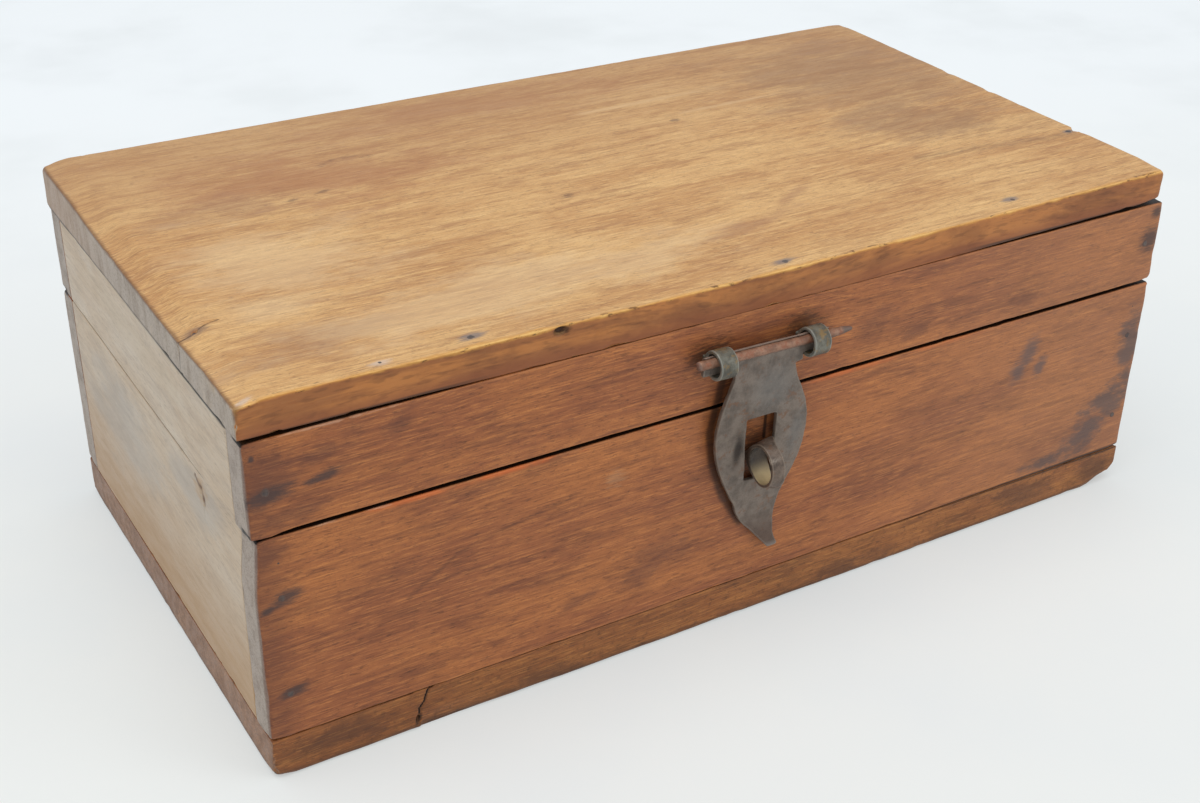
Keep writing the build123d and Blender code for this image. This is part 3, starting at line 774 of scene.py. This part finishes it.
def make_lid_top(material):
    low, high = box_mm("lid_top")
    rail_top = box_mm("lid_front_rail")[1].z
    half = box_mm("front_board")[1].x

    def roof(x, y):
        share = (y - low.y) / (high.y - low.y)
        front_z = TOP_FRONT_MID + (TOP_FRONT_END - TOP_FRONT_MID) * min(1, (x / half) ** 2)
        return front_z + (high.z - front_z) * share

    def warp(x, y, z):
        """The board's wedge and bow: front corners lifted, thicker at the back."""
        share = (y - low.y) / (high.y - low.y)
        lift = TOP_LIFT * min(1, (x / half) ** 2) * (1 - share)
        part = (z - low.z) / (high.z - low.z)
        place = Vector((x, y, rail_top + lift))
        place.z += (roof(x, y) - place.z) * part
        left = ease(x, -144, -153) * ease(part, 0.4, 1)
        place.z -= left * (1.1 + 1.2 * ease(y, -70, -30) * ease(y, 60, 20))
        return place

    def roundness(point):
        x, y, z = point
        right = ease(x, 138, 149) * ease(y, -70, -80)
        back_left = ease(x, -148, -152) * ease(y, 77, 81)
        back_right = ease(x, 146, 150) * ease(y, 76, 80)
        left = ease(x, -146, -151) * ease(y, -74, -80)
        base = 0.7 + 1.1 * left * ease(z, low.z + 2, low.z + 8)
        if z < low.z + 2 and y < low.y + 3:
            base = TIGHT + 0.65 * ease(abs(x - LID_SHUT_MIDDLE), LID_SHUT_HALF, 100)
        return base + 1.5 * right + 1 * back_left + 1.2 * back_right

    def sink(x, y, z):
        depth = 0
        if z > high.z - 1 or x < low.x + 1:
            depth += 0.45 * ease(near_line((x, y), GRAIN_CHECK), 0.7, 0.1) * ease(z, 106, 112)
            depth += 1.5 * ease(hypot(x - NAIL_CHECK[0], y - NAIL_CHECK[1]), 1.2, 0.4)
        notch = hypot(x - 151, y + 43.4)
        depth += 1.3 * ease(notch, 2.6, 0.8) * ease(z, 111, 115)
        if y < low.y + 2:
            real_z = rail_top + (roof(x, y) - rail_top) * (z - low.z) / (high.z - low.z)
            hole = hypot(0.75 * (x - OLD_HOLE[0]), 1.3 * (real_z - OLD_HOLE[1]))
            depth += 1.4 * ease(hole, 2, 0.6)
        return depth

    fine_x = [-153 + 0.5 * i for i in range(28)] + [OLD_HOLE[0] + 0.5 * i for i in range(-5, 6)]
    fine_y = [-45.4 + 0.4 * i for i in range(18)]
    fine_z = [low.z + 0.6 * i for i in range(1, 23)]
    nails = [Vector((x, y, high.z)) for x, y, _, _ in TOP_NAILS]
    board("lid_top", "lid", material, roundness, rim=3.2, sink=sink, warp=warp,
          extra=(fine_x, fine_y, fine_z), calm=nails, seed=1, nick=0.42)
    return roof


def body_warp(x, y, z):
    """The body's front left corner is worn back just below the seam."""
    return Vector((x + 1.3 * ease(x, -146, -152) * ease(z, 56, 74) * ease(y, -30, -70), y, z))


def rail_warp(x, y, z):
    """The front rail's foot comes down to the wall at the left corner."""
    return Vector((x, y, z - 0.85 * ease(x, -140, -149) * ease(z, 78.5, 75.6)))


def long_round(point, outer_share=0.25):
    corner = ease(abs(point.x), 148.5, 151)
    outer = ease(abs(point.y), 76, 80)
    return 0.28 + outer * (outer_share + 0.9 * corner)


def front_round(point):
    """The front's edges are tight where the boards still meet."""
    x, _, z = point
    lid_shut = z > 101 and abs(x - LID_SHUT_MIDDLE) < LID_SHUT_HALF
    if lid_shut or (z < 15 and FOOT_SHUT[0] < x < FOOT_SHUT[1]):
        return TIGHT
    return long_round(point, 0.15)


def end_round(point):
    return 0.25 + 0.35 * ease(abs(point.x), 147, 150.5)


def knot_sink(x, y, z):
    return 0 if x > -151 else 0.45 * ease(near_line((y, z), END_KNOT), 0.8, 0.2)


def on_wall(y, spots):
    return [Vector((x, y, z)) for x, z in spots]


def make_walls(front, back, end):
    board("lid_front_rail", "lid", front, front_round, warp=rail_warp,
          calm=on_wall(FRONT_Y, LID_FRONT_NAILS), seed=2)
    board("front_board", "box", front, front_round, warp=body_warp,
          calm=on_wall(FRONT_Y, BODY_NAILS), seed=3, nick=0.22)
    board("lid_back_rail", "lid", back, long_round,
          calm=on_wall(-FRONT_Y, LID_BACK_NAILS), seed=4, nick=0.25)
    board("back_board", "box", back, long_round,
          calm=on_wall(-FRONT_Y, BODY_BACK_NAILS), seed=5, nick=0.25)
    knot_y = [-48 + 0.5 * i for i in range(17)]
    board("left_end_board", "box", end, end_round, sink=knot_sink, warp=body_warp,
          extra=((), knot_y, ()), seed=6)
    plain = (("right_end_board", "box", 7), ("lid_left_end", "lid", 8), ("lid_right_end", "lid", 9))
    for node, body, seed in plain:
        board(node, body, end, end_round, seed=seed)


def make_bottom(material):
    def foot_round(point):
        x, y, z = point
        foot = ease(z, 7, 1)
        right = ease(x, 138, 149) * ease(y, -60, -78)
        corner = ease(abs(x), 146, 150) * ease(abs(y), 76, 80)
        left = ease(x, -145, -150) * ease(y, -70, -80)
        if z > 11 and FOOT_SHUT[0] < x < FOOT_SHUT[1]:
            return TIGHT
        return min(5.8, 0.4 + 0.8 * foot + 5 * foot * right + 0.8 * foot * left + 0.6 * corner)

    def sink(x, y, z):
        if y > FRONT_Y + 1:
            return 0
        depth = 0.7 * ease(near_line((x, z), FLOOR_CRACK), 0.5, 0.1)
        hole = hypot((x - CRACK_HOLE[0]) / 0.9, (z - CRACK_HOLE[1]) / 1.8)
        depth += 1.3 * ease(hole, 1.1, 0.3)
        step = ease(x, -110.4, -109.6) * ease(x, -80, -104) * ease(z, 6, 0.5)
        return depth + 0.7 * step

    fine_x = [-113 + 0.35 * i for i in range(24)]
    fine_z = [1.5 + 0.6 * i for i in range(20)]
    board("bottom_board", "box", material, foot_round, sink=sink, rim=3,
          extra=(fine_x, (), fine_z), seed=12, nick=0.35)


# ---- Iron ----

LOCK_MIDDLE = Vector((-4.4, -89.8, 56.1))
LOCK_INNER = 6


class Iron(Graph):
    """Hand-forged iron: uneven, rusted in the hollows, rubbed bright along the edges."""

    def __init__(self, name, dark, light, rust, rust_from, seed):
        super().__init__(name)
        self.patch = self.noise(4.2, detail=5, rough=0.62, seed=seed)
        self.speck = self.noise(0.5, detail=3, rough=0.65, seed=seed + 4)
        self.ragged = self.scaled(self.speck, 0.8, -0.4)
        brushed = self.noise(0.6, (1, 1, 7), 4, 0.6, seed + 6)
        shade = self.mix(self.span(self.patch, 0.34, 0.66), dark, light)
        shade = self.mix(self.span(brushed, 0.48, 0.7, 0, 0.35), shade, light)
        shade = self.mix(self.span(self.speck, 0.54, 0.72, 0, 0.45), shade, dark)
        rusty = self.noise(2.6, detail=6, rough=0.7, seed=seed + 8)
        self.shade = self.mix(self.span(rusty, rust_from, rust_from + 0.14, 0, 0.85), shade, rust)
        self.edge = self.attribute("edge")

    def band(self, value, low, high, tint, share, *where):
        self.lay(self.span(value, low, high), tint, share, *where)

    def finish(self, metallic, low, high):
        set_inputs(self.shader, {"Metallic": metallic})
        return self.close(self.span(self.speck, 0.3, 0.7, low, high), self.speck, 0.3)


def plate_iron():
    iron = Iron("hasp_iron", (95, 84, 75), (126, 113, 102), (118, 84, 62), 0.54, 1)
    # Paler blue-grey patches: tone of the iron, and below right of the lock eye a painted highlight
    blue = [((-1, 79), (9, 9), 0), ((3.6, 49.4), (3.4, 2.2), 20), ((8.6, 62), (3.2, 9), -10)]
    iron.stain(iron.ragged, blue, (118, 118, 116), 0.36)
    # Painted shade in the dent left of the slot
    iron.stain(iron.ragged, [((-11, 60.8), (2.1, 6.4), -6)], (44, 35, 30), 0.9)
    # Painted highlight along the slot's raised left lip
    iron.stroke(SLOT_LIP_HIGHLIGHT, 0.3, 0.5, (172, 154, 132), 0.75)
    iron.band(iron.z, 40, 27, (86, 64, 52), 0.76)
    # Painted highlight on the curled tip
    iron.band(iron.z, 25.6, 23.4, (150, 142, 134), 0.6)
    iron.band(iron.z, 90.6, 91.6, (120, 84, 68), 0.6)
    iron.band(iron.edge, 0.25, 0.7, (138, 126, 114), 0.35)
    return iron.finish(0.25, 0.42, 0.6)


def eye_iron():
    iron = Iron("eye_iron", (80, 77, 68), (120, 118, 106), (132, 104, 60), 0.51, 2)
    iron.band(iron.edge, 0.18, 0.6, (158, 158, 150), 0.5)
    return iron.finish(0.25, 0.4, 0.58)


def lock_iron():
    iron = Iron("lock_iron", (80, 67, 58), (124, 107, 94), (118, 84, 60), 0.54, 3)
    above = iron.less(iron.z, LOCK_MIDDLE.z)
    reach = iron.length(iron.less(iron.y, LOCK_MIDDLE.y), above)
    inner = iron.attribute("inner")
    outer = iron.less(1, inner)
    # Inside the ring: painted shade, near black at the top, and painted light, pale at the bottom, with
    # patches of tone
    inner_shading = iron.mix(iron.span(above, -0.4, -6.2), (16, 12, 10), (200, 176, 132))
    inner_shading = iron.mix(iron.span(iron.patch, 0.4, 0.65, 0, 0.25), inner_shading, (120, 104, 78))
    iron.lay(inner, inner_shading, 0.97)
    iron.band(iron.edge, 0.18, 0.6, (150, 136, 120), 0.4, iron.span(reach, 3, 4), outer)
    iron.plane = (iron.y, iron.z)
    # Painted glint on the ring's outer face, right of the hole
    iron.stain(iron.ragged, [((-94.4, 60.2), (1.2, 1.1), 10)], (196, 182, 166), 0.6, outer)
    iron.band(iron.y, -87, -84, (70, 56, 46), 0.6)
    return iron.finish(0.22, 0.42, 0.6)


def rod_iron():
    iron = Iron("pin_iron", (114, 80, 62), (162, 122, 98), (140, 86, 60), 0.48, 4)
    iron.band(iron.x, -27, -27.9, (134, 128, 126), 0.7)
    iron.band(iron.x, 19.6, 21.4, (98, 88, 82), 0.75)
    # Painted shade on the rod's underside
    iron.band(iron.z, 92.3, 91, (74, 50, 42), 0.6)
    return iron.finish(0.12, 0.42, 0.6)


def hinge_iron():
    iron = Iron("hinge_iron", (92, 82, 74), (124, 112, 102), (122, 84, 58), 0.54, 5)
    return iron.finish(0.3, 0.42, 0.62)


def nail_iron(name, core, wood, seed):
    """A head that rust and dirt have blended into the wood: iron in the middle, wood at its rim."""
    iron = Iron(name, core, (96, 84, 78), (92, 66, 52), 0.5, seed)
    ragged = iron.scaled(iron.noise(0.7, detail=4, rough=0.7, seed=seed), 1.2, -0.6)
    iron.band(iron.math("ADD", iron.edge, ragged), 0.3, 0.85, wood, 0.92)
    return iron.finish(0, 0.45, 0.6)


def edges_of(work):
    """How sharply the surface turns outwards at each vertex, evened out a little."""
    sharp = []
    for vertex in work.verts:
        bends = [edge.calc_face_angle_signed(0) for edge in vertex.link_edges if len(edge.link_faces) == 2]
        sharp.append(max(0, sum(bends)))
    for _ in range(2):
        sharp = [
            0.5 * sharp[v.index] + 0.5 * sum(sharp[e.other_vert(v).index] for e in v.link_edges)
            / max(1, len(v.link_edges))
            for v in work.verts
        ]
    return sharp


def forge(node, body, material, voxel, dents, seed, shape, ring=None):
    """A CAD piece as beaten metal: remeshed, its edges eased and its faces uneven."""
    piece = add_object(node + "_forged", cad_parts[node].data.copy())
    remesh = piece.modifiers.new("remesh", "REMESH")
    remesh.mode = "VOXEL"
    remesh.voxel_size = voxel * MM
    bpy.context.view_layer.update()
    evaluated = piece.evaluated_get(bpy.context.evaluated_depsgraph_get())
    mesh = bpy.data.meshes.new_from_object(evaluated)
    piece.modifiers.clear()
    piece.data = mesh
    work = bmesh.new()
    work.from_mesh(mesh)
    work.verts.ensure_lookup_table()
    for _ in range(2):
        bmesh.ops.smooth_vert(work, verts=work.verts, factor=0.5,
                              use_axis_x=True, use_axis_y=True, use_axis_z=True)
    work.normal_update()
    sharp = edges_of(work)
    inner = []
    for vertex in work.verts:
        place = vertex.co / MM
        if ring is not None:
            away = Vector((0, place.y - ring.y, place.z - ring.z))
            facing_in = away.length > TINY and vertex.normal.dot(away.normalized()) < -0.45
            inner.append(1 if facing_in and away.length < LOCK_INNER + 0.6 else 0)
        push = dents * (wander(place, 4.5, seed) + 0.5 * wander(place, 1.7, seed + 3))
        vertex.co = shape(place + vertex.normal * push) * MM
    work.to_mesh(mesh)
    work.free()
    smooth(mesh)
    point_values(mesh, "edge", sharp)
    if ring is not None:
        point_values(mesh, "inner", inner)
    stand_for(piece, node, body, material)


SLOT_HEAD = 70.3
SLOT_FOOT = 46.9
SLOT_SIDES = (-9, 1.4)
SLOT_LIP_HIGHLIGHT = ((-8.6, 68.6), (-7.4, 51.5))  # its left lip, with a painted highlight along it


def dented_plate(place):
    """The plate as it was beaten: a slanted slot with a raised left lip, a dent beside it, a drawn tip."""
    x, y, z = place
    left, right = SLOT_SIDES
    down = ease(z, SLOT_HEAD, SLOT_FOOT - 4)
    beside = ease(x, left - 3.2, left - 0.2) * ease(x, right + 5, right)
    foot = ease(z, SLOT_FOOT - 4, SLOT_FOOT) * ease(z, SLOT_FOOT + 9, SLOT_FOOT)
    share = min(1, max(0, (x - left) / (right - left)))
    down *= ease(z, SLOT_FOOT - 8, SLOT_FOOT - 1)
    lean = down * (2.1 - 1.3 * share) * beside
    dent = 0.5 * ease(hypot((x + 11.4) / 2.4, (z - 61) / 7.6), 1.2, 0.2)
    burr = 0.35 * ease(abs(x + lean - left), 0.9, 0.2) * ease(abs(z - 60), 11, 8)
    full = 0.6 * ease(abs(z - 36), 9, 0) * ease(x, -2, -7)
    tip = ease(z, 32, 23)
    return Vector((x + lean - full - 1.2 * tip, y + dent - burr, z + 2.4 * foot * beside + 0.9 * tip))


LOCK_NEAR = LOCK_MIDDLE.x - 2
LOCK_FAR = LOCK_MIDDLE.x + 2
LOCK_FLAT = -96.7  # its outermost curve is beaten flat here
LOCK_SQUARE = 0.78  # how square the upper back quarter is: 1 is round


def flared_lock(place):
    """The strip is bent to a narrower ring at the left and flares towards the right and the wood."""
    x, y, z = place
    out, up = y - LOCK_MIDDLE.y, z - LOCK_MIDDLE.z
    share = ease(x, LOCK_FAR, LOCK_NEAR)
    shank = ease(y, LOCK_MIDDLE.y + 9, LOCK_MIDDLE.y + 4)
    depth = out * (1 - 0.2 * share) - 0.75 * share
    height = up * (1 - 0.09 * share) + 0.6 * share
    if height > 0 and depth > 0:
        reach = hypot(height, depth)
        height = reach * (height / reach) ** LOCK_SQUARE
    wide = 3.2 * ease(y, LOCK_MIDDLE.y - 3, LOCK_MIDDLE.y + 5.5) * ease(x, LOCK_NEAR + 1, LOCK_FAR)
    y = LOCK_MIDDLE.y + depth * shank + out * (1 - shank)
    z = LOCK_MIDDLE.z + height * shank + up * (1 - shank)
    return Vector((x + wide, max(y, LOCK_FLAT), z))


def small_eye(middle):
    """A lid eye drawn in a little round its own axis."""
    def shape(place):
        x, y, z = place
        shrink = 1 - 0.05 * ease(y, -82, -84.5)
        return Vector((x, middle.y + (y - middle.y) * shrink, middle.z + (z - middle.z) * shrink))
    return shape


def circle(across, over, sides):
    """Directions round a circle."""
    turns = [2 * pi * side / sides for side in range(sides)]
    return [across * cos(turn) + over * sin(turn) for turn in turns]


def tube(start, rings, sides):
    """Faces between rings of points that are numbered from start."""
    faces = []
    for ring in range(rings):
        for side in range(sides):
            a = start + ring * sides + side
            b = start + ring * sides + (side + 1) % sides
            faces.append((a, b, b + sides, a + sides))
    return faces


ROD_CAD_RADIUS = 1.32
ROD_CAD_POINT = 7.5  # length of the CAD pin's drawn-out point
ROD_RADIUS = 1.36
ROD_POINT = 6.5
ROD_SIDES = 18
ROD_RINGS = 120


def hammered_rod(node, body, material):
    """The hasp's rod: cut square at the left and beaten to a point at the right."""
    low, high = box_mm(node)
    length = high.x - low.x
    lean = (high.z - low.z - 2 * ROD_CAD_RADIUS) * length / (length - ROD_CAD_POINT)
    left = Vector((low.x, (low.y + high.y) / 2, high.z - ROD_CAD_RADIUS))
    right = Vector((high.x, (low.y + high.y) / 2, left.z - lean))
    points = [left + Vector((0.05, 0, 0))]
    for ring in range(ROD_RINGS + 1):
        share = ring / ROD_RINGS
        centre = left.lerp(right, share)
        size = ROD_RADIUS * min(1, 0.88 + 0.4 * share * length)
        size *= 0.2 + 0.8 * min(1, (1 - share) * length / ROD_POINT) ** 0.5
        for out in circle(Vector((0, 1, 0)), Vector((0, 0, 1)), ROD_SIDES):
            uneven = 1 + 0.1 * wander(centre + 2 * out, 2.6, 3) + 0.05 * wander(centre + out, 0.9, 5)
            points.append(centre + out * size * uneven)
    points.append(right)
    faces = tube(1, ROD_RINGS, ROD_SIDES)
    last = 1 + ROD_RINGS * ROD_SIDES
    for side in range(ROD_SIDES):
        after = (side + 1) % ROD_SIDES
        faces.append((0, 1 + after, 1 + side))
        faces.append((last + side, last + after, len(points) - 1))
    piece = new_object(node + "_rod", points, faces)
    point_values(piece.data, "edge", [0] * len(points))
    stand_for(piece, node, body, material)


# Rings of a nail's head: share of its radius, height over the wood, how much of the wood's colour
NAIL_RINGS = ((1, -0.5, 1), (1, -0.04, 1), (0.85, 0.02, 0.9), (0.6, 0.05, 0.5), (0.3, 0.06, 0.1))
NAIL_SIDES = 16


def nail_heads(node, body, spots, material, radius, seed):
    """Wrought heads, uneven and flush with the wood.

    A spot is a point, its normal and its share of the radius."""
    points, faces, edges = [], [], []
    for number, (centre, normal, size) in enumerate(spots):
        across = normal.orthogonal().normalized()
        around = circle(across, normal.cross(across), NAIL_SIDES)
        start = len(points)
        for share, rise, edge in NAIL_RINGS:
            for direction in around:
                uneven = 1 + 0.35 * wander(direction * 3 + centre, 2.2, seed + number)
                points.append(centre + direction * (radius * size * share * uneven) + normal * rise)
                edges.append(edge)
        points.append(centre + normal * NAIL_RINGS[-1][1])
        points.append(centre + normal * NAIL_RINGS[0][1])
        edges += [0, 1]
        faces += tube(start, len(NAIL_RINGS) - 1, NAIL_SIDES)
        last = start + (len(NAIL_RINGS) - 1) * NAIL_SIDES
        for i in range(NAIL_SIDES):
            faces.append((last + i, last + (i + 1) % NAIL_SIDES, len(points) - 2))
            faces.append((start + (i + 1) % NAIL_SIDES, start + i, len(points) - 1))
    piece = new_object(node + "_heads", points, faces)
    point_values(piece.data, "edge", edges)
    stand_for(piece, node, body, material)


def repaint(node, material):
    """Gives a CAD node that stays a better material."""
    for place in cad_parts[node].material_slots:
        place.material = material


def make_ironwork(roof):
    hinge = hinge_iron()
    top_nail = nail_iron("top_nail_iron", (66, 61, 62), (108, 94, 84), 6)
    side_nail = nail_iron("side_nail_iron", (58, 44, 42), (86, 60, 50), 7)
    forge("hasp_plate", "hasp", plate_iron(), 0.26, 0.09, 1, dented_plate)
    hammered_rod("hasp_pin", "hasp", rod_iron())
    eyes = eye_iron()
    for number, node in enumerate(("hasp_eye_left", "hasp_eye_right")):
        low, high = box_mm(node)
        middle = Vector(((low.x + high.x) / 2, low.y + LID_EYE_REACH, (low.z + high.z) / 2))
        forge(node, "lid", eyes, 0.2, 0.06, 3 + number, small_eye(middle))
    forge("lock_eye", "box", lock_iron(), 0.2, 0.06, 5, flared_lock, LOCK_MIDDLE)
    front, back, up = Vector((0, -1, 0)), Vector((0, 1, 0)), Vector((0, 0, 1))
    tops = [(Vector((x, y, roof(x, y) - sunk)), up, size) for x, y, size, sunk in TOP_NAILS]
    nail_heads("lid_top_nails", "lid", tops, top_nail, 1.4, 1)
    heads = [(place, front, 1) for place in on_wall(FRONT_Y, LID_FRONT_NAILS)]
    heads += [(place, back, 1.2) for place in on_wall(-FRONT_Y, LID_BACK_NAILS)]
    nail_heads("lid_corner_nails", "lid", heads, side_nail, 1.25, 2)
    places = on_wall(FRONT_Y, BODY_NAILS)
    heads = [(place, front, size) for place, size in zip(places, 2 * BODY_NAIL_SIZES)]
    heads += [(place, back, 1.2) for place in on_wall(-FRONT_Y, BODY_BACK_NAILS)]
    nail_heads("body_corner_nails", "box", heads, side_nail, 1.25, 3)
    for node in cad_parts:
        if node.startswith("hinge_") or node == "bottom_nails":
            repaint(node, hinge)


# ---- The scene ----

bpy.context.scene.view_settings.view_transform = "Standard"
make_camera()
make_world()
make_floor()
area_light("key", (-0.35, -0.15, 1.75), 1.5, 15)
area_light("side", (1, -1.2, 0.8), 0.8, 5)
roof = make_lid_top(top_wood())
make_walls(front_wood(), back_wood(), end_wood())
make_bottom(bottom_wood())
make_ironwork(roof)
